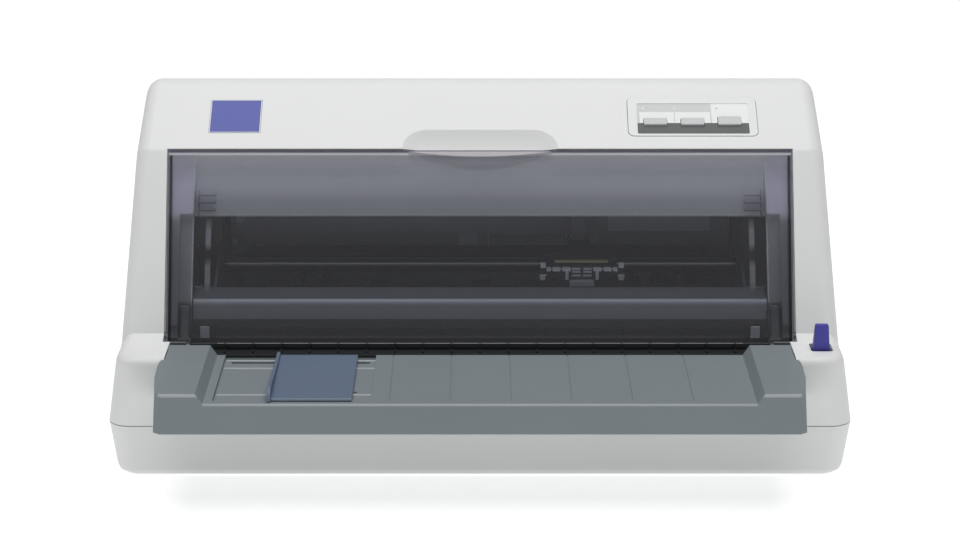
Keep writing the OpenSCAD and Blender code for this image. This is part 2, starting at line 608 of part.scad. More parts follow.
module head_board() {
  color("#2c3a2a") difference() {
    box(cx-18, cx+18, -6, 6, 102.8, 104);
    box(cx-7.2, cx+7.2, -8, -2, 102, 105);
  }
  color("#2c3a2a") box(cx-17, cx+17, 1.3, 3.7, 103.9, 106.1);
  // flat cable edge on top of its stiffener
  color("#b9bf6a") box(cx-17.6, cx+17.6, 1, 4, 106, 107.2);
  // contact strips that hook over the front plate
  color(steel) for (s = [-1, 1]) {
    box(cx+s*15.3-8, cx+s*15.3+8, -7.4, -5.4, 103.9, 104.3);
    for (w = [[7.4, 12.9], [14.3, 19.3], [20.5, 23.3]]) box(cx+s*(w[0]+w[1])/2-(w[1]-w[0])/2, cx+s*(w[0]+w[1])/2+(w[1]-w[0])/2, -11.4, -5.4, 104.1, 105.2);
    box(cx+s*9.9-1, cx+s*9.9+1, -11.4, -10.6, 98.2, 104.4);
  }
}
module ribbon_mask() {
  color(steel) difference() {
    union() { box(cx-22, cx+22, -9, 10, 74.2, 74.7); box(cx-22, cx-21.2, -7.5, 8, 74.6, 84.1); box(cx+21.2, cx+22, -7.5, 8, 74.6, 84.1);
      for (s = [-1, 1]) box(cx+s*19.7-2.3, cx+s*19.7+2.3, -7.5, 8, 83.4, 85.6); }
    box(cx-5, cx+5, -2, 2.4, 70, 80);
  }
}
belt_y = 56; pul_r = 6; pul_x = 150;
module carriage_belt() {
  color("#1b1c1e") difference() {
    translate([0, belt_y, 92.2]) linear_extrude(6) polygon(concat(arc(pul_x, 0, pul_r+1.3, -90, 90, 16), arc(-pul_x, 0, pul_r+1.3, 90, 270, 16)));
    translate([0, belt_y, 90]) linear_extrude(10) polygon(concat(arc(pul_x, 0, pul_r+0.3, -90, 90, 16), arc(-pul_x, 0, pul_r+0.3, 90, 270, 16)));
  }
}
module drive_pulley() {
  color("#c9cbcc") difference() {
    union() {
      zrod(pul_x, belt_y, 91.8, 98.6, pul_r);
      zrod(pul_x, belt_y, 90.2, 91.7, pul_r+2.6);
      zrod(pul_x, belt_y, 98.7-0.2, 99.7, pul_r+2.6);
      zrod(pul_x, belt_y, 91.6, 91.9, pul_r);
    }
    zrod(pul_x, belt_y, 80, 120, 1.5);
  }
  color(steel) zrod(pul_x, belt_y, 80.4, 101.4, 1.5);
}
module idler_pulley() {
  color("#c9cbcc") difference() {
    union() {
      zrod(-pul_x, belt_y, 90.4, 99.6, pul_r);
      zrod(-pul_x, belt_y, 90.2, 91.8, pul_r+2.4);
      zrod(-pul_x, belt_y, 98.6, 99.8, pul_r+2.4);
    }
    zrod(-pul_x, belt_y, 80, 120, 2+fit);
  }
}
module idler_bracket() {
  color(steel) {
    difference() {
      union() { box(-171.2, -140, belt_y-7, belt_y+7, 88, 89.6); box(-171.2, -169.6, belt_y-7, belt_y+7, 86, 100); }
      box(-172, -165, belt_y+2, belt_y+8, 91, 99);
    }
    zrod(-pul_x, belt_y, 89.5, 101.2, 2);
    zrod(-pul_x, belt_y, 100.2, 101.6, 3);
  }
}
module tension_spring() {
  color(steel) difference() { xrod(-169.4, -160.2, belt_y, 85, 2.6); xrod(-170, -160, belt_y, 85, 1.9); }
}
module carriage_motor() {
  color("#7d8084") difference() {
    union() { zrod(pul_x, belt_y, 50, 84.4, 13.8); zrod(pul_x, belt_y, 84.3, 86.2, 5); }
    zrod(pul_x, belt_y, 80, 90, 1.5+fit);
  }
  color(steel) difference() { box(pul_x-18, 171.2, belt_y-14, belt_y+8.4, 84.6-0.2, 86); zrod(pul_x, belt_y, 80, 90, 5.2); }
}

// ---------------------------------------------------------------- paper feed
tractor_a = 4;
g3y = 66+40*cos(tractor_a); g3z = 66.2-40*sin(tractor_a);
tractor_b = asin((g3z-58)/32);
tractor_y = g3y+32*cos(tractor_b);
// one spur gear in the YZ plane, ph is the direction of one tooth
module gear(n, ph, x0, x1, y, z, bore) {
  r = n*gear_m/2; p = 360/n;
  translate([x0, y, z]) rotate([90, 0, 90]) difference() {
    linear_extrude(x1-x0) polygon([for (i = [0:n-1]) each let (a = ph+i*p)
      [[(r-1.15*gear_m)*cos(a-0.32*p), (r-1.15*gear_m)*sin(a-0.32*p)], [(r+0.72*gear_m)*cos(a-0.10*p), (r+0.72*gear_m)*sin(a-0.10*p)],
       [(r+0.72*gear_m)*cos(a+0.10*p), (r+0.72*gear_m)*sin(a+0.10*p)], [(r-1.15*gear_m)*cos(a+0.32*p), (r-1.15*gear_m)*sin(a+0.32*p)]]]);
    translate([0, 0, -1]) cylinder(r = bore, h = x1-x0+2);
  }
}
// direction of a tooth of the driven gear so that it meshes with the driver
function mesh(na, pa, dir, nb) = dir+180+(360/nb)*(0.5-(pa-dir)/(360/na));
ph_rear = 0;
ph_centre = mesh(30, ph_rear, 180, 55);
ph_front = mesh(55, ph_centre, 180, 30);
ph_pinion = mesh(55, ph_centre, 270, 12);
ph_ta = mesh(30, ph_rear, 0, 50);
ph_tb = mesh(50, ph_ta, -tractor_a, 50);
ph_tractor = mesh(50, ph_tb, -tractor_b, 30);
shr = roller_shaft_d/2;
module rollers(y) { color("#3b3d40") for (i = [-4:4]) difference() { xrod(i*34-8.6, i*34+8.6, y, 66.2, 6); xrod(i*34-9, i*34+9, y, 66.2, shr-0.02); } }
module front_feed_roller() {
  rollers(-34);
  color(steel) xrod(-176, 184.6, -34, 66.2, shr);
  color("#dcdedd") gear(30, ph_front, 176, 182, -34, 66.2, shr-0.02);
}
module rear_feed_roller() {
  rollers(34);
  color(steel) xrod(-176, 222, 34, 66.2, shr);
  color("#dcdedd") gear(30, ph_rear, 176, 182, 34, 66.2, shr-0.02);
}
module feed_knob() {
  color("#4a4f55") difference() {
    translate([219.6, 34, 66.2]) rotate([90, 0, 90]) linear_extrude(13.6) polygon([for (i = [0:71]) let (r = 16.4+0.5*cos(i*5*24)) [r*cos(i*5), r*sin(i*5)]]);
    xrod(219, 222.1, 34, 66.2, shr);
    xrod(230.6, 240, 34, 66.2, 12.6);
  }
}
module pinch(y, e) {
  color("#55585c") for (i = [-4:4]) difference() { xrod(i*34-7, i*34+7, y, 78, 5); xrod(i*34-8, i*34+8, y, 78, 1.48); }
  color(steel) xrod(-e, e, y, 78, 1.5);
}
module front_pinch_rollers() { pinch(-34, 169.6); }
module rear_pinch_rollers() { pinch(34, 174.4); }
module feed_motor() {
  color("#7d8084") difference() {
    union() { xrod(140, 168.4, 0, 39.4, 16); xrod(168.3, 174.2, 0, 39.4, 5.4); box(168.4, 170.8, -22, 22, 32, 46); }
    xrod(166, 180, 0, 39.4, 1.5+fit);
  }
}
module motor_pinion() {
  color("#c8b26a") difference() { union() { gear(12, ph_pinion, 176, 182, 0, 39.4, 1.48); } }
  color(steel) xrod(167, 182, 0, 39.4, 1.5);
}
module stub_gear(n, ph, y, z) {
  color("#dcdedd") difference() {
    union() { gear(n, ph, 176.2, 181.8, y, z, 3+fit); }
    if (n > 40) for (a = [0:60:300]) xrod(170, 190, y+0.6*(n*gear_m/2)*cos(a), z+0.6*(n*gear_m/2)*sin(a), 3.2);
  }
}
module centre_gear() { stub_gear(55, ph_centre, 0, 66.2); }
module transfer_gear_a() { stub_gear(50, ph_ta, 66, 66.2); }
module transfer_gear_b() { stub_gear(50, ph_tb, g3y, g3z); }

// ---------------------------------------------------------------- tractor
module tractor_shaft() {
  color(steel) {
    box(-170, 170, tractor_y-3, tractor_y+3, 55, 61);
    xrod(-175, -169.9, tractor_y, 58, 4.3); xrod(169.9, 184, tractor_y, 58, 4.3);
  }
  color("#dcdedd") gear(30, ph_tractor, 176, 182, tractor_y, 58, 4.28);
}
module tractor_rod() { color(steel) xrod(-171.4, 171.4, tractor_y+2, 39.2, 2.5); }
module tractor_unit() {
  // side cheeks round the sprocket, foot on the round rod
  difference() {
    union() {
      yz_profile(-11, -8.4, tractor_outline()); yz_profile(8.4, 11, tractor_outline());
      box(-11, 11, tractor_y-6, tractor_y+10, 33.5, 38.6);
      box(-11, 11, tractor_y+5.6, tractor_y+10, 33.5, 42.6);
    }
    xrod(-20, 20, tractor_y, 58, 6.4);
    xrod(-20, 20, tractor_y+2, 39.2, 2.5+fit);
  }
}
function tractor_outline() = concat([[tractor_y-20, 64], [tractor_y-10, 38], [tractor_y+12, 38], [tractor_y+22, 60], [tractor_y+22, 71.2]], [[tractor_y-20, 71.2]]);
module tractor_left() { color("#3e4145") translate([-tractor_x, 0, 0]) { tractor_unit(); tractor_ears(-1); } }
module tractor_right() { color("#3e4145") translate([tractor_x, 0, 0]) { tractor_unit(); tractor_ears(1); } }
module tractor_ears(s) {
  difference() {
    for (y = [tractor_y-20, tractor_y+18.6]) box(s > 0 ? 8.4 : -14, s > 0 ? 14 : -8.4, y, y+3.4, 66, 78.6);
    yrod(s*11.6, tractor_y-25, tractor_y+30, 76, 1+fit);
  }
}
module flap(s) {
  difference() {
    union() {
      box(s > 0 ? -10.4 : -11.6, s > 0 ? 11.6 : 10.4, tractor_y-16.2, tractor_y+18.2, 75, 77);
      yrod(s*11.6, tractor_y-16.2, tractor_y+18.2, 76, 1.9);
    }
    // slot that the sprocket pins pass
    box(-3, 3, tractor_y-9, tractor_y+9, 70, 80);
  }
  yrod(s*11.6, tractor_y-19.8, tractor_y+21.8, 76, 1);
}
module tractor_flap_left() { color("#4b4f54") translate([-tractor_x, 0, 0]) flap(-1); }
module tractor_flap_right() { color("#4b4f54") translate([tractor_x, 0, 0]) flap(1); }
module sprocket(x) {
  color("#d6d8d8") difference() {
    union() {
      xrod(x-8, x+8, tractor_y, 58, 6);
      xrod(x-4, x+4, tractor_y, 58, 13.8);
      for (i = [0:7]) translate([x, tractor_y, 58]) rotate([i*45, 0, 0]) translate([0, 0, 13]) cylinder(r = 1.6, h = 2.6, $fn = 16);
    }
    box(x-20, x+20, tractor_y-3.15, tractor_y+3.15, 54.85, 61.15);
  }
}
module sprocket_left() { sprocket(-tractor_x); }
module sprocket_right() { sprocket(tractor_x); }

// ---------------------------------------------------------------- electrics
module main_board() {
  color(board_green) difference() { box(-110, 128, -40, 14, 17, 18.6); zrod(-104, -34, 10, 30, 1.8); zrod(122, -34, 10, 30, 1.8); }
  color(dark) { box(-60, -30, -28, 2, 18.5, 21); box(0, 18, -24, -6, 18.5, 21.4); box(60, 90, -30, -22, 18.5, 27); box(-100, -92, -30, 6, 18.5, 26); }
  color(steel) for (x = [-100, -20, 60, 120]) zrod(x, 8, 13.3, 17.05, 3);
}
module power_supply() {
  color("#6f5f3a") box(-130, -112, 30, 90, 17, 18.6);
  color("#8a8d90") box(-166, -114, 26, 94, 13.5, 17);
  color(dark) box(-160, -124, 36, 74, 16.9, 46);
  color("#4b6fa8") for (y = [80, 88]) zrod(-140, y-1, 16.9, 38, 3.6);
}

lower_case();
upper_case();
rubber_feet();
printer_cover();
rear_door();
front_tray();
edge_guide();
release_lever();
lever_pivot();
control_panel();
button_left();
button_middle();
button_right();
indicator_lenses();
button_springs();
panel_board();
badge_plate();
power_switch();
switch_frame();
ac_inlet();
interface_ports();
base_plate();
side_frame_left();
side_frame_right();
rear_frame();
front_guide_bar();
lower_paper_guide();
platen();
carriage_rod();
carriage();
print_head();
head_board();
ribbon_mask();
carriage_belt();
carriage_motor();
drive_pulley();
idler_pulley();
idler_bracket();
tension_spring();
front_feed_roller();
rear_feed_roller();
front_pinch_rollers();
rear_pinch_rollers();
feed_knob();
feed_motor();
motor_pinion();
centre_gear();
transfer_gear_a();
transfer_gear_b();
tractor_shaft();
tractor_rod();
tractor_left();
tractor_right();
sprocket_left();
sprocket_right();
tractor_flap_left();
tractor_flap_right();
main_board();
power_supply();
case_screws();
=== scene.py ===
import json
import math
import bpy
import bmesh
from mathutils import Vector, Matrix


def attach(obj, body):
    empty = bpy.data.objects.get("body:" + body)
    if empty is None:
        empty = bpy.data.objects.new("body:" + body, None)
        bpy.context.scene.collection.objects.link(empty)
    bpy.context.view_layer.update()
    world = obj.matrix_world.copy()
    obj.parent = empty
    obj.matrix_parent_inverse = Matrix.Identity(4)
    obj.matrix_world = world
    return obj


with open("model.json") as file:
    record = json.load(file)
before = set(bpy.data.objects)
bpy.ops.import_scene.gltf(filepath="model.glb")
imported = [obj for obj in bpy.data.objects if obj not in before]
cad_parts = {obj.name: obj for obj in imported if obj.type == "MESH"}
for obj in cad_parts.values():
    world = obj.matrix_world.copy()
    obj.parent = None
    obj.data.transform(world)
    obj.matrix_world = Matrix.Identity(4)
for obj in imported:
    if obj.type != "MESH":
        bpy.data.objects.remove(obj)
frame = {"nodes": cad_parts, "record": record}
N = frame["nodes"]
body_of = {n: b for b, ns in frame["record"]["behaviour"]["bodies"].items() for n in ns}
slot_of = {s["node"]: s["material_slot"] for s in frame["record"]["subparts"]}
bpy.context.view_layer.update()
MM = 0.001
scene = bpy.context.scene

# ------------------------------------------------------------------ camera
cam_data = bpy.data.cameras.new("camera")
cam = bpy.data.objects.new("camera", cam_data)
scene.collection.objects.link(cam)
cam.location = (0.0, -1.443385, 0.579335)
cam.rotation_euler = (math.radians(71.5), 0.0, 0.0)
cam_data.sensor_width = 36.0
cam_data.lens = 86.25
cam_data.clip_end = 100.0
scene.camera = cam


# ------------------------------------------------------------------ materials
def base_mat(name):
    m = bpy.data.materials.new(name)
    m.use_nodes = True
    nt = m.node_tree
    nt.nodes.clear()
    out = nt.nodes.new("ShaderNodeOutputMaterial")
    bsdf = nt.nodes.new("ShaderNodeBsdfPrincipled")
    nt.links.new(bsdf.outputs[0], out.inputs[0])
    coord = nt.nodes.new("ShaderNodeTexCoord")
    return m, nt, bsdf, coord.outputs["Object"]


def noise(nt, vec, scale, detail=3.0, rough=0.5, stretch=None):
    if stretch is not None:
        mp = nt.nodes.new("ShaderNodeMapping")
        mp.inputs["Scale"].default_value = stretch
        nt.links.new(vec, mp.inputs["Vector"])
        vec = mp.outputs[0]
    n = nt.nodes.new("ShaderNodeTexNoise")
    n.inputs["Scale"].default_value = scale
    n.inputs["Detail"].default_value = detail
    n.inputs["Roughness"].default_value = rough
    nt.links.new(vec, n.inputs["Vector"])
    return n.outputs["Fac"]


def ramp(nt, fac, stops):
    r = nt.nodes.new("ShaderNodeValToRGB")
    e = r.color_ramp.elements
    e[0].position, e[0].color = stops[0][0], (*stops[0][1], 1)
    e[1].position, e[1].color = stops[-1][0], (*stops[-1][1], 1)
    for p, c in stops[1:-1]:
        k = e.new(p)
        k.color = (*c, 1)
    nt.links.new(fac, r.inputs[0])
    return r.outputs[0]


def maprange(nt, fac, a, b, lo=0.3, hi=0.7):
    r = nt.nodes.new("ShaderNodeMapRange")
    r.inputs["From Min"].default_value = lo
    r.inputs["From Max"].default_value = hi
    r.inputs["To Min"].default_value = a
    r.inputs["To Max"].default_value = b
    nt.links.new(fac, r.inputs["Value"])
    return r.outputs[0]


def bump(nt, bsdf, height, strength, dist):
    b = nt.nodes.new("ShaderNodeBump")
    b.inputs["Strength"].default_value = strength
    b.inputs["Distance"].default_value = dist
    nt.links.new(height, b.inputs["Height"])
    nt.links.new(b.outputs[0], bsdf.inputs["Normal"])


def shade(c, k):
    return tuple(max(0.0, min(1.0, v * k)) for v in c)


def plastic(name, col, rough=0.5, var=0.03, grain=1800.0, depth=0.25, spec=0.4, big=9.0, coat=0.0):
    """Moulded plastic with a spark-eroded grain and a faint uneven tone."""
    m, nt, b, obj = base_mat(name)
    tone = noise(nt, obj, big, 4.0, 0.55)
    nt.links.new(ramp(nt, tone, [(0.3, shade(col, 1 - var)), (0.7, shade(col, 1 + var))]), b.inputs["Base Color"])
    fine = noise(nt, obj, grain, 2.0, 0.5)
    nt.links.new(maprange(nt, fine, rough - 0.05, rough + 0.05), b.inputs["Roughness"])
    bump(nt, b, fine, depth, 0.00012)
    b.inputs["Specular IOR Level"].default_value = spec
    if coat:
        b.inputs["Coat Weight"].default_value = coat
        b.inputs["Coat Roughness"].default_value = 0.15
    return m


def metal(name, col, rough=0.35, var=0.08, stretch=(40, 1500, 1500), metallic=1.0):
    """Sheet or turned metal with fine drawn lines."""
    m, nt, b, obj = base_mat(name)
    lines = noise(nt, obj, 1.0, 3.0, 0.6, stretch)
    cloud = noise(nt, obj, 22.0, 4.0, 0.6)
    nt.links.new(ramp(nt, cloud, [(0.3, shade(col, 1 - var)), (0.7, shade(col, 1 + var))]), b.inputs["Base Color"])
    nt.links.new(maprange(nt, lines, rough - 0.08, rough + 0.1), b.inputs["Roughness"])
    bump(nt, b, lines, 0.12, 0.00008)
    b.inputs["Metallic"].default_value = metallic
    return m


def rubber(name, col, rough=0.8):
    m, nt, b, obj = base_mat(name)
    tone = noise(nt, obj, 60.0, 4.0, 0.6)
    nt.links.new(ramp(nt, tone, [(0.3, shade(col, 0.85)), (0.7, shade(col, 1.2))]), b.inputs["Base Color"])
    fine = noise(nt, obj, 2600.0, 2.0)
    nt.links.new(maprange(nt, fine, rough - 0.08, rough + 0.05), b.inputs["Roughness"])
    bump(nt, b, fine, 0.3, 0.0001)
    b.inputs["Specular IOR Level"].default_value = 0.3
    return m


def board(name, col):
    """Circuit board: tracks as fine offset bands under solder mask."""
    m, nt, b, obj = base_mat(name)
    w = nt.nodes.new("ShaderNodeTexVoronoi")
    w.distance = "CHEBYCHEV"
    w.inputs["Scale"].default_value = 260.0
    nt.links.new(obj, w.inputs["Vector"])
    nt.links.new(ramp(nt, w.outputs["Distance"], [(0.18, shade(col, 1.5)), (0.3, shade(col, 1.0)), (0.62, shade(col, 0.8))]), b.inputs["Base Color"])
    bump(nt, b, w.outputs["Distance"], 0.15, 0.0001)
    fine = noise(nt, obj, 300.0, 3.0)
    nt.links.new(maprange(nt, fine, 0.3, 0.45), b.inputs["Roughness"])
    return m


def in_box(nt, vec, lo, hi):
    """1 inside a box given in mm in the piece's own coordinates, else 0."""
    c = [(u + v) / 2 * MM for u, v in zip(lo, hi)]
    half = [(v - u) / 2 * MM for u, v in zip(lo, hi)]
    sub = nt.nodes.new("ShaderNodeVectorMath")
    sub.operation = "SUBTRACT"
    nt.links.new(vec, sub.inputs[0])
    sub.inputs[1].default_value = c
    absn = nt.nodes.new("ShaderNodeVectorMath")
    absn.operation = "ABSOLUTE"
    nt.links.new(sub.outputs[0], absn.inputs[0])
    sep = nt.nodes.new("ShaderNodeSeparateXYZ")
    nt.links.new(absn.outputs[0], sep.inputs[0])
    out = None
    for i in range(3):
        less = nt.nodes.new("ShaderNodeMath")
        less.operation = "LESS_THAN"
        nt.links.new(sep.outputs[i], less.inputs[0])
        less.inputs[1].default_value = half[i]
        out = less.outputs[0] if out is None else math_(nt, "MULTIPLY", out, less.outputs[0])
    return out


def math_(nt, op, a, b):
    m = nt.nodes.new("ShaderNodeMath")
    m.operation = op
    for i, v in enumerate((a, b)):
        if isinstance(v, (int, float)):
            m.inputs[i].default_value = v
        else:
            nt.links.new(v, m.inputs[i])
    return m.outputs[0]


def along(nt, vec, direction, origin):
    """Distance in mm along a direction from an origin given in mm."""
    sub = nt.nodes.new("ShaderNodeVectorMath")
    sub.operation = "SUBTRACT"
    nt.links.new(vec, sub.inputs[0])
    sub.inputs[1].default_value = [v * MM for v in origin]
    dot = nt.nodes.new("ShaderNodeVectorMath")
    dot.operation = "DOT_PRODUCT"
    nt.links.new(sub.outputs[0], dot.inputs[0])
    dot.inputs[1].default_value = direction
    return math_(nt, "MULTIPLY", dot.outputs["Value"], 1000.0)


def mix_colour(nt, fac, a, b):
    m = nt.nodes.new("ShaderNodeMix")
    m.data_type = "RGBA"
    nt.links.new(fac, m.inputs["Factor"])
    for key, v in ((6, a), (7, b)):
        if isinstance(v, tuple):
            m.inputs[key].default_value = (*v, 1)
        else:
            nt.links.new(v, m.inputs[key])
    return m.outputs[2]


def zoned(m, zones, name=None):
    """Copies a material and paints boxes of the piece, given in mm, in other colours."""
    m = m.copy()
    if name:
        m.name = name
    nt = m.node_tree
    b = next(n for n in nt.nodes if n.type == "BSDF_PRINCIPLED")
    vec = next(n for n in nt.nodes if n.type == "TEX_COORD").outputs["Object"]
    col = b.inputs["Base Color"].links[0].from_socket
    for lo, hi, c in zones:
        col = mix_colour(nt, in_box(nt, vec, lo, hi), col, c)
    nt.links.new(col, b.inputs["Base Color"])
    return m


def smoke(name):
    """Clear smoky plastic: it dims and slightly blues what lies behind, with a weak gloss.
    The grip lip and the bright rims are paler as painted highlights; the flat bands are denser and paler."""
    m, nt, b, obj = base_mat(name)
    tone = noise(nt, obj, 6.0, 3.0, 0.5, (1.0, 2.5, 2.5))
    s = along(nt, obj, (0, 0.5, 0.8660254), (0, -68.5, 78.4))
    n = along(nt, obj, (0, -0.8660254, 0.5), (0, -68.5, 78.4))
    ax = math_(nt, "ABSOLUTE", along(nt, obj, (1, 0, 0), (0, 0, 0)), 0)

    def between(v, lo, hi):
        return math_(nt, "MULTIPLY", math_(nt, "GREATER_THAN", v, lo), math_(nt, "LESS_THAN", v, hi))

    def both_(p, q):
        return math_(nt, "MULTIPLY", p, q)

    # distance from the side edges, which draw in a little towards the hinge
    e = math_(nt, "SUBTRACT", ax, math_(nt, "ADD", math_(nt, "MULTIPLY", s, 0.01595), 199.235))
    s01 = maprange(nt, s, 0.0, 1.0, 0.0, 125.0)
    border = math_(nt, "GREATER_THAN", ax, 184.6)
    masks = [
        # painted shade as a soft dark line along the two side edges, and a painted highlight on the outermost edge
        (between(e, -2.4, -0.55), (0.030, 0.028, 0.036), 0.50),
        (both_(math_(nt, "GREATER_THAN", e, -0.55), between(s, -3, 112)), (0.34, 0.34, 0.35), 0.45),
        # hinge cheeks
        (both_(math_(nt, "LESS_THAN", n, -3.2), math_(nt, "LESS_THAN", s, 24.3)), (0.055, 0.056, 0.066), 0.45),
        # painted shade as a dark strip along the top edge, and a painted highlight line below it
        (math_(nt, "GREATER_THAN", s, 121.6), (0.155, 0.150, 0.195), 0.55),
        (between(s, 120.0, 121.6), (0.66, 0.66, 0.70), 0.62),
        # painted highlight along the lower rim
        (both_(math_(nt, "LESS_THAN", s, -3.2), both_(math_(nt, "GREATER_THAN", n, -1.6), math_(nt, "LESS_THAN", ax, 167.1))), (0.47, 0.47, 0.47), 0.9),
        # shaded underside and hinge web
        (both_(math_(nt, "LESS_THAN", s, 0.5), both_(math_(nt, "LESS_THAN", n, -1.6), math_(nt, "LESS_THAN", ax, 184.0))), (0.008, 0.008, 0.009), 0.93),
        # grip lip, pale as a painted highlight
        (math_(nt, "GREATER_THAN", n, 0.08), (0.60, 0.57, 0.59), 0.97),
    ]
    # haze colour, lighter near the bottom as a painted reflection and towards the top as painted light
    haze_and_painted_light = ramp(nt, s01, [(0.16, (0.330, 0.332, 0.340)), (0.30, SMOKE_BASE), (0.84, SMOKE_BASE), (0.92, (0.400, 0.396, 0.436))])
    col = mix_colour(nt, math_(nt, "MULTIPLY", tone, 0.25), haze_and_painted_light, (0.36, 0.36, 0.38))
    # painted light: the pale surface layer grows towards the top, and along the borders, to lift the shade there
    painted_top_light = ramp(nt, s01, [(0.84, (SMOKE_FAC,) * 3), (0.88, (0.19,) * 3), (0.912, (0.32,) * 3), (0.944, (0.42,) * 3)])
    painted_border_light = both_(border, ramp(nt, s01, [(0.60, (SMOKE_FAC,) * 3), (0.66, (0.20,) * 3), (0.80, (0.15,) * 3), (0.88, (0.20,) * 3), (0.944, (0.42,) * 3)]))
    fac = math_(nt, "MAXIMUM", painted_top_light, painted_border_light)
    for mask, c, k in masks:
        col = mix_colour(nt, mask, col, c)
        fac = math_(nt, "MAXIMUM", fac, math_(nt, "MULTIPLY", mask, k))
    # flat bands beside the rollers, brightest in two stretches
    band = both_(between(ax, 172.9, 176.7), both_(math_(nt, "LESS_THAN", n, -3.5), between(s, 30, 79.3)))
    glow = ramp(nt, maprange(nt, s, 0.0, 1.0, 31.0, 79.0), [(0.02, (0.30,) * 3), (0.12, (0.80,) * 3), (0.34, (0.80,) * 3), (0.46, (0.12,) * 3), (0.54, (0.12,) * 3), (0.66, (0.90,) * 3), (0.84, (0.85,) * 3), (0.98, (0.35,) * 3)])
    col = mix_colour(nt, band, col, (0.36, 0.36, 0.38))
    fac = math_(nt, "MAXIMUM", fac, both_(band, math_(nt, "MULTIPLY", glow, 0.62)))
    nt.links.new(col, b.inputs["Base Color"])
    fine = noise(nt, obj, 90.0, 2.0)
    nt.links.new(maprange(nt, fine, 0.16, 0.24), b.inputs["Roughness"])
    b.inputs["IOR"].default_value = 1.45
    b.inputs["Specular IOR Level"].default_value = 0.45
    clear = nt.nodes.new("ShaderNodeBsdfTransparent")
    # the clear field, darkest just above the window and lighter towards the top, as painted shade of the wall
    # behind; and the borders, which darken towards the hinge as painted shade
    field = ramp(nt, s01, [(0.628, SMOKE_TINT), (0.652, shade(SMOKE_TINT, 0.765)), (0.72, shade(SMOKE_TINT, 0.80)), (0.785, shade(SMOKE_TINT, 0.93)), (0.84, shade(SMOKE_TINT, 1.03)), (0.90, shade(SMOKE_TINT, 1.06))])
    field = mix_colour(nt, math_(nt, "MULTIPLY", tone, 0.06), field, (0.95, 0.95, 0.96))
    sides = ramp(nt, s01, [(0.04, (0.560, 0.566, 0.592)), (0.34, (0.590, 0.596, 0.622)), (0.61, (0.640, 0.647, 0.672)), (0.66, (0.865, 0.862, 0.930))])
    nt.links.new(mix_colour(nt, border, field, sides), clear.inputs["Color"])
    mix = nt.nodes.new("ShaderNodeMixShader")
    nt.links.new(fac, mix.inputs[0])
    nt.links.new(clear.outputs[0], mix.inputs[1])
    nt.links.new(b.outputs[0], mix.inputs[2])
    out = next(k for k in nt.nodes if k.type == "OUTPUT_MATERIAL")
    nt.links.new(mix.outputs[0], out.inputs[0])
    return m


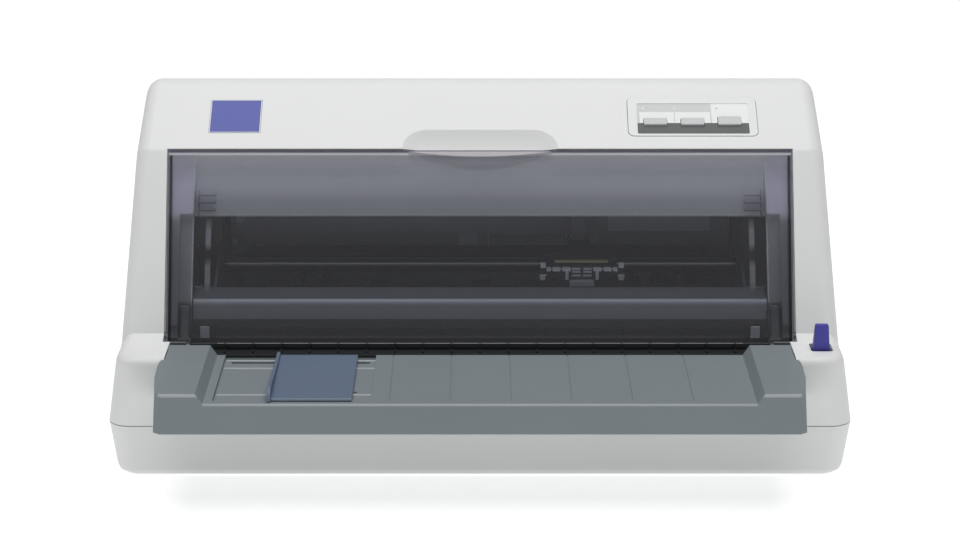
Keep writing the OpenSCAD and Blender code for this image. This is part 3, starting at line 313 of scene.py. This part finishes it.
SMOKE_BASE = (0.245, 0.246, 0.256)
SMOKE_TINT = (0.862, 0.868, 0.905)
SMOKE_FAC = 0.10
MAT = {
    "case_white": plastic("case_white", (0.80, 0.81, 0.80), 0.52, 0.012, 1500.0, 0.22, 0.35),
    "cover_smoke": smoke("cover_smoke"),
    "tray_grey": plastic("tray_grey", (0.200, 0.233, 0.250), 0.50, 0.03, 1500.0, 0.35, 0.35),
    "guide_grey": plastic("guide_grey", (0.122, 0.162, 0.232), 0.46, 0.04, 1500.0, 0.3, 0.35),
    "accent_blue": plastic("accent_blue", (0.066, 0.060, 0.385), 0.42, 0.05, 1500.0, 0.2, 0.4),
    "badge_blue": plastic("badge_blue", (0.090, 0.108, 0.405), 0.40, 0.03, 2500.0, 0.08, 0.3),
    "panel_pale": plastic("panel_pale", (0.78, 0.80, 0.79), 0.45, 0.02, 2200.0, 0.15, 0.4),
    "button_grey": plastic("button_grey", (0.56, 0.585, 0.58), 0.42, 0.02, 2200.0, 0.15, 0.4),
    "lens_clear": plastic("lens_clear", (0.50, 0.55, 0.50), 0.2, 0.03, 500.0, 0.05, 0.6, 200.0, 0.6),
    "dark_plastic": plastic("dark_plastic", (0.028, 0.028, 0.031), 0.48, 0.10, 1500.0, 0.3, 0.4),
    "guide_black": plastic("guide_black", (0.080, 0.087, 0.096), 0.46, 0.05, 1500.0, 0.03, 0.4, 7.0),
    "path_black": plastic("path_black", (0.100, 0.102, 0.108), 0.62, 0.08, 1500.0, 0.05, 0.12),
    "pulley_dark": plastic("pulley_dark", (0.030, 0.031, 0.033), 0.55, 0.08, 1500.0, 0.10, 0.3),
    "head_pale": metal("head_pale", (0.11, 0.115, 0.12), 0.5, 0.06, (900, 900, 900), 0.2),
    "rod_dark": metal("rod_dark", (0.12, 0.12, 0.122), 0.15, 0.04, (30, 300, 300), 1.0),
    "wall_pale": plastic("wall_pale", (0.80, 0.82, 0.83), 0.55, 0.04, 1500.0, 0.05, 0.3),
    "board_dark": board("board_dark", (0.020, 0.030, 0.020)),
    # grey of the strips in the gap round the cover: painted shade
    "gap_shade_grey": rubber("gap_shade_grey", (0.30, 0.30, 0.31)),
    "wall_grey": metal("wall_grey", (0.46, 0.465, 0.475), 0.6, 0.08, (60, 1200, 1200), 0.15),
    "rubber_black": rubber("rubber_black", (0.02, 0.02, 0.021)),
    "roller_rubber": rubber("roller_rubber", (0.035, 0.035, 0.038), 0.7),
    "sheet_steel": metal("sheet_steel", (0.52, 0.53, 0.55), 0.4),
    "dark_steel": metal("dark_steel", (0.20, 0.20, 0.215), 0.5, 0.12, (60, 1200, 1200), 0.6),
    "shaft_steel": metal("shaft_steel", (0.50, 0.51, 0.53), 0.26, 0.05, (2200, 60, 60)),
    "head_alloy": metal("head_alloy", (0.42, 0.43, 0.45), 0.5, 0.08, (900, 900, 900), 0.85),
    "motor_steel": metal("motor_steel", (0.34, 0.35, 0.37), 0.42),
    "gear_white": plastic("gear_white", (0.70, 0.71, 0.69), 0.42, 0.03, 1800.0, 0.1, 0.45),
    "pinion_brass": metal("pinion_brass", (0.62, 0.47, 0.18), 0.3),
    "board_green": board("board_green", (0.03, 0.13, 0.06)),
    "board_yellow": board("board_yellow", (0.34, 0.40, 0.10)),
    "label_grey": plastic("label_grey", (0.63, 0.645, 0.64), 0.5, 0.02, 2600.0, 0.06, 0.3),
    "label_white": plastic("label_white", (0.86, 0.87, 0.86), 0.5, 0.01, 2600.0, 0.05, 0.3),
    "label_dark": plastic("label_dark", (0.115, 0.122, 0.120), 0.5, 0.03, 2600.0, 0.06, 0.3),
}


# ------------------------------------------------------------------ geometry helpers
def smooth_group():
    ng = bpy.data.node_groups.new("smooth_by_angle", "GeometryNodeTree")
    ng.interface.new_socket("Geometry", in_out="INPUT", socket_type="NodeSocketGeometry")
    ng.interface.new_socket("Geometry", in_out="OUTPUT", socket_type="NodeSocketGeometry")
    gi = ng.nodes.new("NodeGroupInput")
    go = ng.nodes.new("NodeGroupOutput")
    ang = ng.nodes.new("GeometryNodeInputMeshEdgeAngle")
    cmp_ = ng.nodes.new("FunctionNodeCompare")
    cmp_.data_type = "FLOAT"
    cmp_.operation = "GREATER_THAN"
    cmp_.inputs[1].default_value = math.radians(32)
    ng.links.new(ang.outputs["Unsigned Angle"], cmp_.inputs[0])
    faces = ng.nodes.new("GeometryNodeSetShadeSmooth")
    faces.domain = "FACE"
    faces.inputs["Shade Smooth"].default_value = True
    edges = ng.nodes.new("GeometryNodeSetShadeSmooth")
    edges.domain = "EDGE"
    edges.inputs["Shade Smooth"].default_value = False
    ng.links.new(gi.outputs[0], faces.inputs["Geometry"])
    ng.links.new(faces.outputs[0], edges.inputs["Geometry"])
    ng.links.new(cmp_.outputs[0], edges.inputs["Selection"])
    ng.links.new(edges.outputs[0], go.inputs[0])
    return ng


SMOOTH = smooth_group()


def dress(o, material, width=0.0, limit=38.0, segments=2, planar=True):
    """Gives a CAD node or a new piece its material, softened edges and clean shading."""
    o.data.materials.clear()
    o.data.materials.append(material)
    for a in ("custom_normal", "sharp_edge", "sharp_face"):
        if a in o.data.attributes:
            o.data.attributes.remove(o.data.attributes[a])
    w = o.modifiers.new("weld", "WELD")
    w.merge_threshold = 0.000004
    if width > 0:
        if planar:
            d = o.modifiers.new("planar", "DECIMATE")
            d.decimate_type = "DISSOLVE"
            d.angle_limit = math.radians(0.4)
        b = o.modifiers.new("edges", "BEVEL")
        b.width = width * MM
        b.segments = segments
        b.limit_method = "ANGLE"
        b.angle_limit = math.radians(limit)
        b.use_clamp_overlap = True
        b.miter_outer = "MITER_ARC"
    g = o.modifiers.new("smooth", "NODES")
    g.node_group = SMOOTH
    if width > 0:
        wn = o.modifiers.new("normals", "WEIGHTED_NORMAL")
        wn.keep_sharp = True
        wn.weight = 60
    return o


def add(name, verts, faces, body, material, width=0.0, limit=38.0, segments=2):
    me = bpy.data.meshes.new(name)
    me.from_pydata([Vector(v) for v in verts], [], faces)
    bm = bmesh.new()
    bm.from_mesh(me)
    bmesh.ops.recalc_face_normals(bm, faces=bm.faces)
    bm.to_mesh(me)
    bm.free()
    o = bpy.data.objects.new(name, me)
    scene.collection.objects.link(o)
    dress(o, MAT[material], width, limit, segments)
    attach(o, body)
    return o


# the button panel's own frame: x across, s up the slope, n out of it, in mm
EDGE_Y, EDGE_Z, PANEL = -6.5, 185.7876, math.radians(34)


def panel(x, s, n):
    return (x * MM, (EDGE_Y + s * math.cos(PANEL) - n * math.sin(PANEL)) * MM, (EDGE_Z + s * math.sin(PANEL) + n * math.cos(PANEL)) * MM)


def cover_pt(x, s, n):
    c, q = math.cos(math.radians(60)), math.sin(math.radians(60))
    return (x * MM, (-68.5 + s * c - n * q) * MM, (78.4 + s * q + n * c) * MM)


def plain(x, y, z):
    return (x * MM, y * MM, z * MM)


def cells(plus, minus, n0, n1, place):
    """A flat plate made of rectangles less other rectangles, closed all round."""
    xs = sorted(set(v for r in plus + minus for v in (r[0], r[2])))
    ys = sorted(set(v for r in plus + minus for v in (r[1], r[3])))

    def inside(i, j):
        if not (0 <= i < len(xs) - 1 and 0 <= j < len(ys) - 1):
            return False
        x, y = (xs[i] + xs[i + 1]) / 2, (ys[j] + ys[j + 1]) / 2
        hit = any(a < x < c and b < y < d for a, b, c, d in plus)
        return hit and not any(a < x < c and b < y < d for a, b, c, d in minus)

    verts, index, faces = [], {}, []

    def v(i, j, k):
        key = (i, j, k)
        if key not in index:
            index[key] = len(verts)
            verts.append(place(xs[i], ys[j], n1 if k else n0))
        return index[key]

    for i in range(len(xs) - 1):
        for j in range(len(ys) - 1):
            if not inside(i, j):
                continue
            faces.append((v(i, j, 1), v(i + 1, j, 1), v(i + 1, j + 1, 1), v(i, j + 1, 1)))
            faces.append((v(i, j, 0), v(i, j + 1, 0), v(i + 1, j + 1, 0), v(i + 1, j, 0)))
            for di, dj, a, b in ((-1, 0, (i, j), (i, j + 1)), (1, 0, (i + 1, j + 1), (i + 1, j)), (0, -1, (i + 1, j), (i, j)), (0, 1, (i, j + 1), (i + 1, j + 1))):
                if not inside(i + di, j + dj):
                    faces.append((v(a[0], a[1], 0), v(b[0], b[1], 0), v(b[0], b[1], 1), v(a[0], a[1], 1)))
    return verts, faces


# ------------------------------------------------------------------ CAD nodes
CX = 67.0
WHITE = (0.90, 0.92, 0.92)
MAT["carriage_mix"] = zoned(MAT["dark_plastic"], [((CX + k * 25.6 - 2.2, -11.6, z0), (CX + k * 25.6 + 2.2, -9.0, z1), (0.80, 0.83, 0.82)) for k in (-1, 1) for z0, z1 in ((106.1, 109.9), (97.9, 101.6))]
                            + [((CX - 5, 57, 103.8), (CX + 5, 68, 125), (0.30, 0.30, 0.31))], "carriage_mix")
MAT["head_board_mix"] = zoned(MAT["board_dark"], [((CX - 20, 0.5, 105.95), (CX + 20, 4.5, 108), (0.90, 0.93, 0.46)), ((CX - 26, -12, 104.05), (CX + 26, -5.2, 106), WHITE), ((CX - 12, -12, 98), (CX + 12, -10.5, 104.2), WHITE)], "head_board_mix")
MAT["head_mix"] = zoned(MAT["head_pale"], [((CX + x0, -8.4, z0), (CX + x1, -7.2, z1), WHITE) for x0, x1 in ((-6.5, -1.0), (1.0, 6.5)) for z0, z1 in ((104.0, 105.4), (101.9, 103.3), (99.5, 100.7))]
                        + [((CX - 8.2, -12, 93.6), (CX + 8.2, -6.4, 97.1), (0.56, 0.60, 0.61))], "head_mix")
# rear frame: painted shade as a dark band low down under the rod; pale plate, knob and screw in their own colours
MAT["frame_mix"] = zoned(MAT["wall_grey"], [((-180, 60, 80), (180, 75, 91.0), (0.060, 0.060, 0.064)), ((87.9, 69, 106.6), (158.2, 69.6, 117.4), (0.68, 0.70, 0.73)), ((119, 68, 92.8), (129, 69.8, 97), (0.75, 0.76, 0.78)), ((-168.4, 68, 112), (-161.6, 69.4, 119), (0.80, 0.81, 0.81))], "frame_mix")
# painted highlight: a bright line along the carriage rod
MAT["rod_mix"] = zoned(MAT["rod_dark"], [((-172, 16.8, 99.5), (172, 18.3, 100.4), (0.95, 0.95, 0.95))], "rod_mix")
MAT["side_dark"] = metal("side_dark", (0.085, 0.086, 0.092), 0.6, 0.1, (60, 1200, 1200), 0.3)
# guide bar: painted reflection on the front face and a painted highlight along the top front edge; the lower part
# keeps its dark tone
MAT["bar_mix"] = zoned(MAT["guide_black"], [((-190, -60, 84.4), (190, -48.9, 96.4), (0.275, 0.288, 0.310)), ((-190, -48.9, 96.2), (190, -46.2, 98), (0.37, 0.385, 0.405)), ((-190, -60, 74), (190, -40, 84.4), (0.085, 0.087, 0.090))], "bar_mix")
# painted shade on the seats under the hinge corners of the cover, and a painted shadow strip behind each tray ear
MAT["case_mix"] = zoned(MAT["case_white"], [((x0, -69.2, 73.0), (x1, -60.0, 76.0), (0.10, 0.10, 0.11)) for x0, x1 in ((-199.5, -186.0), (186.0, 199.5))]
                         + [((x0, -77.9, 77.0), (x1, -74.6, 78.9), (0.13, 0.14, 0.145)) for x0, x1 in ((-196.2, -183.0), (183.0, 196.2))], "case_mix")
# painted highlight along the front edge of the edge guide
MAT["guide_mix"] = zoned(MAT["guide_grey"], [((-124.9, -164.0, 72.0), (-75, -162.2, 75), (0.215, 0.270, 0.345))], "guide_mix")
# painted shade on the front of the lower paper guide, in the gap under the cover
MAT["path_mix"] = zoned(MAT["path_black"], [((-190, -84, 60), (190, -58.5, 73), (0.020, 0.021, 0.022))], "path_mix")
# painted highlights on the moulded edges and beads of the tray; painted shade in the groove behind the guide
EDGE_HIGHLIGHT = (0.34, 0.375, 0.40)
MAT["tray_mix"] = zoned(MAT["tray_grey"], [((-193, -168.5, 76.7), (-168, -165.9, 78.6), EDGE_HIGHLIGHT), ((168, -168.5, 76.7), (193, -165.9, 78.6), EDGE_HIGHLIGHT), ((-165.7, -168.5, 71.1), (165.7, -166.5, 72.6), EDGE_HIGHLIGHT),
                                           ((-160, -89.5, 69), (-65, -80, 71.2), (0.085, 0.100, 0.105))]
                        + [((-159.2, y - 1.0, 71.6), (-65, y + 1.0, 72.2), (0.40, 0.43, 0.45)) for y in (-91.6, -105.4, -150.4)], "tray_mix")
SPECIAL = {"badge_plate": "badge_blue", "upper_case": "case_mix", "edge_guide": "guide_mix", "front_guide_bar": "bar_mix", "lower_paper_guide": "path_mix", "front_tray": "tray_mix", "drive_pulley": "pulley_dark", "idler_pulley": "pulley_dark",
           "print_head": "head_mix", "carriage_rod": "rod_mix", "side_frame_left": "side_dark", "side_frame_right": "side_dark", "carriage": "carriage_mix", "head_board": "head_board_mix", "rear_frame": "frame_mix"}
BEVEL = {"upper_case": 0.5, "lower_case": 0.5, "rear_door": 0.35, "front_tray": 0.5, "edge_guide": 0.35, "release_lever": 0.5,
         "control_panel": 0.3, "button_left": 0.25, "button_middle": 0.25, "button_right": 0.25, "badge_plate": 0.12, "printer_cover": 0.35,
         "front_guide_bar": 0.4, "rear_frame": 0.2, "carriage": 0.3, "print_head": 0.2, "head_board": 0.12, "feed_knob": 0.4,
         "power_switch": 0.3, "switch_frame": 0.3, "ac_inlet": 0.3, "side_frame_left": 0.2, "side_frame_right": 0.2,
         "tractor_left": 0.3, "tractor_right": 0.3, "tractor_flap_left": 0.3, "tractor_flap_right": 0.3}
# plates with pockets inside a face, and the ribbed knob, keep their own triangles under the bevel
POCKETED = ("front_tray", "rear_door", "head_board", "feed_knob")
for name, o in N.items():
    dress(o, MAT[SPECIAL.get(name, slot_of[name])], BEVEL.get(name, 0.0), planar=name not in POCKETED)

# ------------------------------------------------------------------ button panel label
BTN = [(114.4, 26.0), (138.7, 26.0), (162.9, 27.3)]
holes = [(x - 7.8, 19.9, x + 7.8, top) for x, top in BTN]
v, f = cells([(102.7, 22.4, 151.4, 39.2)], holes + [(104.3, 22.5, 126.9, 31.9), (127.6, 22.5, 150.5, 31.9)], -0.2, 0.02, panel)
add("label_band", v, f, "housing", "label_grey")
v, f = cells([(104.3, 22.5, 126.9, 31.9), (127.6, 22.5, 150.5, 31.9), (151.4, 22.4, 175.5, 39.2)], holes, -0.2, 0.05, panel)
add("label_fields", v, f, "housing", "label_white")
v, f = cells([(102.7, 12.9, 175.5, 22.4)], holes, -0.2, 0.02, panel)
add("label_foot", v, f, "housing", "label_dark")
# thin light rim of the badge
v, f = cells([(-176.4, 14.1, -143.2, 42.5)], [(-175.9, 14.6, -143.7, 42.0)], 0.1, 0.22, panel)
add("badge_rim", v, f, "housing", "label_white")

# small fittings on the rear frame, seen through the cover
on_wall = lambda x, z, n: (x * MM, (69.9 - n) * MM, z * MM)
for nm, rects, depth, mat in (("wall_square", [(-14.8, 96.2, -1.6, 105.0)], 1.5, "wall_pale"),
                              ("wall_bars", [(5.1, 96.6, 6.7, 104.4), (58.6, 96.6, 60.2, 104.4)], 1.0, "wall_pale"),
                              ("wall_clips", [(62.2, 97.6, 66.6, 103.6), (68.0, 99.6, 70.8, 103.6), (74.4, 98.2, 80.4, 103.6), (-171.0, 96.4, -167.4, 101.2)], 0.9, "wall_pale")):
    for k, (x0, z0, x1, z1) in enumerate(rects):
        v, f = cells([(x0, z0, x1, z1)], [], 0.0, depth, on_wall)
        add(nm if len(rects) == 1 else "%s_%d" % (nm, k + 1), v, f, "housing", mat, 0.25)
# pale end blocks of the paper path, under the ends of the bar
for k, (x0, x1) in enumerate([(-180.2, -174.2), (174.2, 180.2)]):
    v, f = cells([(x0, 71.0, x1, 79.6)], [], 20.3, 21.8, lambda x, z, n: (x * MM, (-71.2 + n) * MM, z * MM))
    add("path_block_%d" % (k + 1), v, f, "housing", "label_grey", 0.3)
# grey strips in the gap round the cover, standing in for the shade in the gap: painted shade
def gap_shade_strip(name, plan, n0, n1):
    k = len(plan)
    v = [cover_pt(x, t, n) for n in (n0, n1) for x, t in plan]
    f = [tuple(range(k)), tuple(range(2 * k - 1, k - 1, -1))] + [(i, (i + 1) % k, (i + 1) % k + k, i + k) for i in range(k)]
    add(name, v, f, "housing", "gap_shade_grey", 0.12)


for k, m in enumerate((-1, 1)):
    gap_shade_strip("cover_gap_shade_%d" % (k + 1), [(m * 199.75, 4.0), (m * 201.05, 4.0), (m * 202.2, 124.3), (m * 201.55, 124.3)], -3.0, -0.9)
    gap_shade_strip("cover_gap_shade_%d" % (k + 3), [(m * 50.0, 123.55), (m * 201.5, 123.55), (m * 201.5, 124.3), (m * 50.0, 124.3)], -3.0, -0.9)

# ------------------------------------------------------------------ stage
floor_me = bpy.data.meshes.new("floor")
floor_me.from_pydata([(-12, -12, 0), (12, -12, 0), (12, 12, 0), (-12, 12, 0)], [], [(0, 1, 2, 3)])
floor = bpy.data.objects.new("floor", floor_me)
scene.collection.objects.link(floor)
fm, nt, b, obj = base_mat("floor")
nt.links.new(ramp(nt, noise(nt, obj, 1.5), [(0.3, (0.60, 0.60, 0.60)), (0.7, (0.62, 0.62, 0.62))]), b.inputs["Base Color"])
b.inputs["Roughness"].default_value = 0.9
b.inputs["Specular IOR Level"].default_value = 0.1
b.inputs["Emission Color"].default_value = (1, 1, 1, 1)
b.inputs["Emission Strength"].default_value = 0.73
floor_me.materials.append(fm)

world = bpy.data.worlds.new("world")
scene.world = world
world.use_nodes = True
world.node_tree.nodes["Background"].inputs[0].default_value = (0.97, 0.98, 1.0, 1)
world.node_tree.nodes["Background"].inputs[1].default_value = 0.15


def area(name, loc, target, size, power, sy=None, col=(1, 1, 1)):
    d = bpy.data.lights.new(name, "AREA")
    d.shape = "RECTANGLE"
    d.size, d.size_y = size, sy or size
    d.energy = power
    d.color = col
    o = bpy.data.objects.new(name, d)
    scene.collection.objects.link(o)
    o.location = loc
    o.rotation_euler = (Vector(target) - Vector(loc)).to_track_quat("-Z", "Y").to_euler()
    return o


area("top_light", (0.0, -0.35, 1.9), (0, 0, 0.1), 1.8, 21.5, 1.4)
area("rear_top_light", (0.0, 0.45, 1.9), (0, 0, 0.1), 1.8, 11.3, 1.4)
scene.view_settings.view_transform = "Standard"
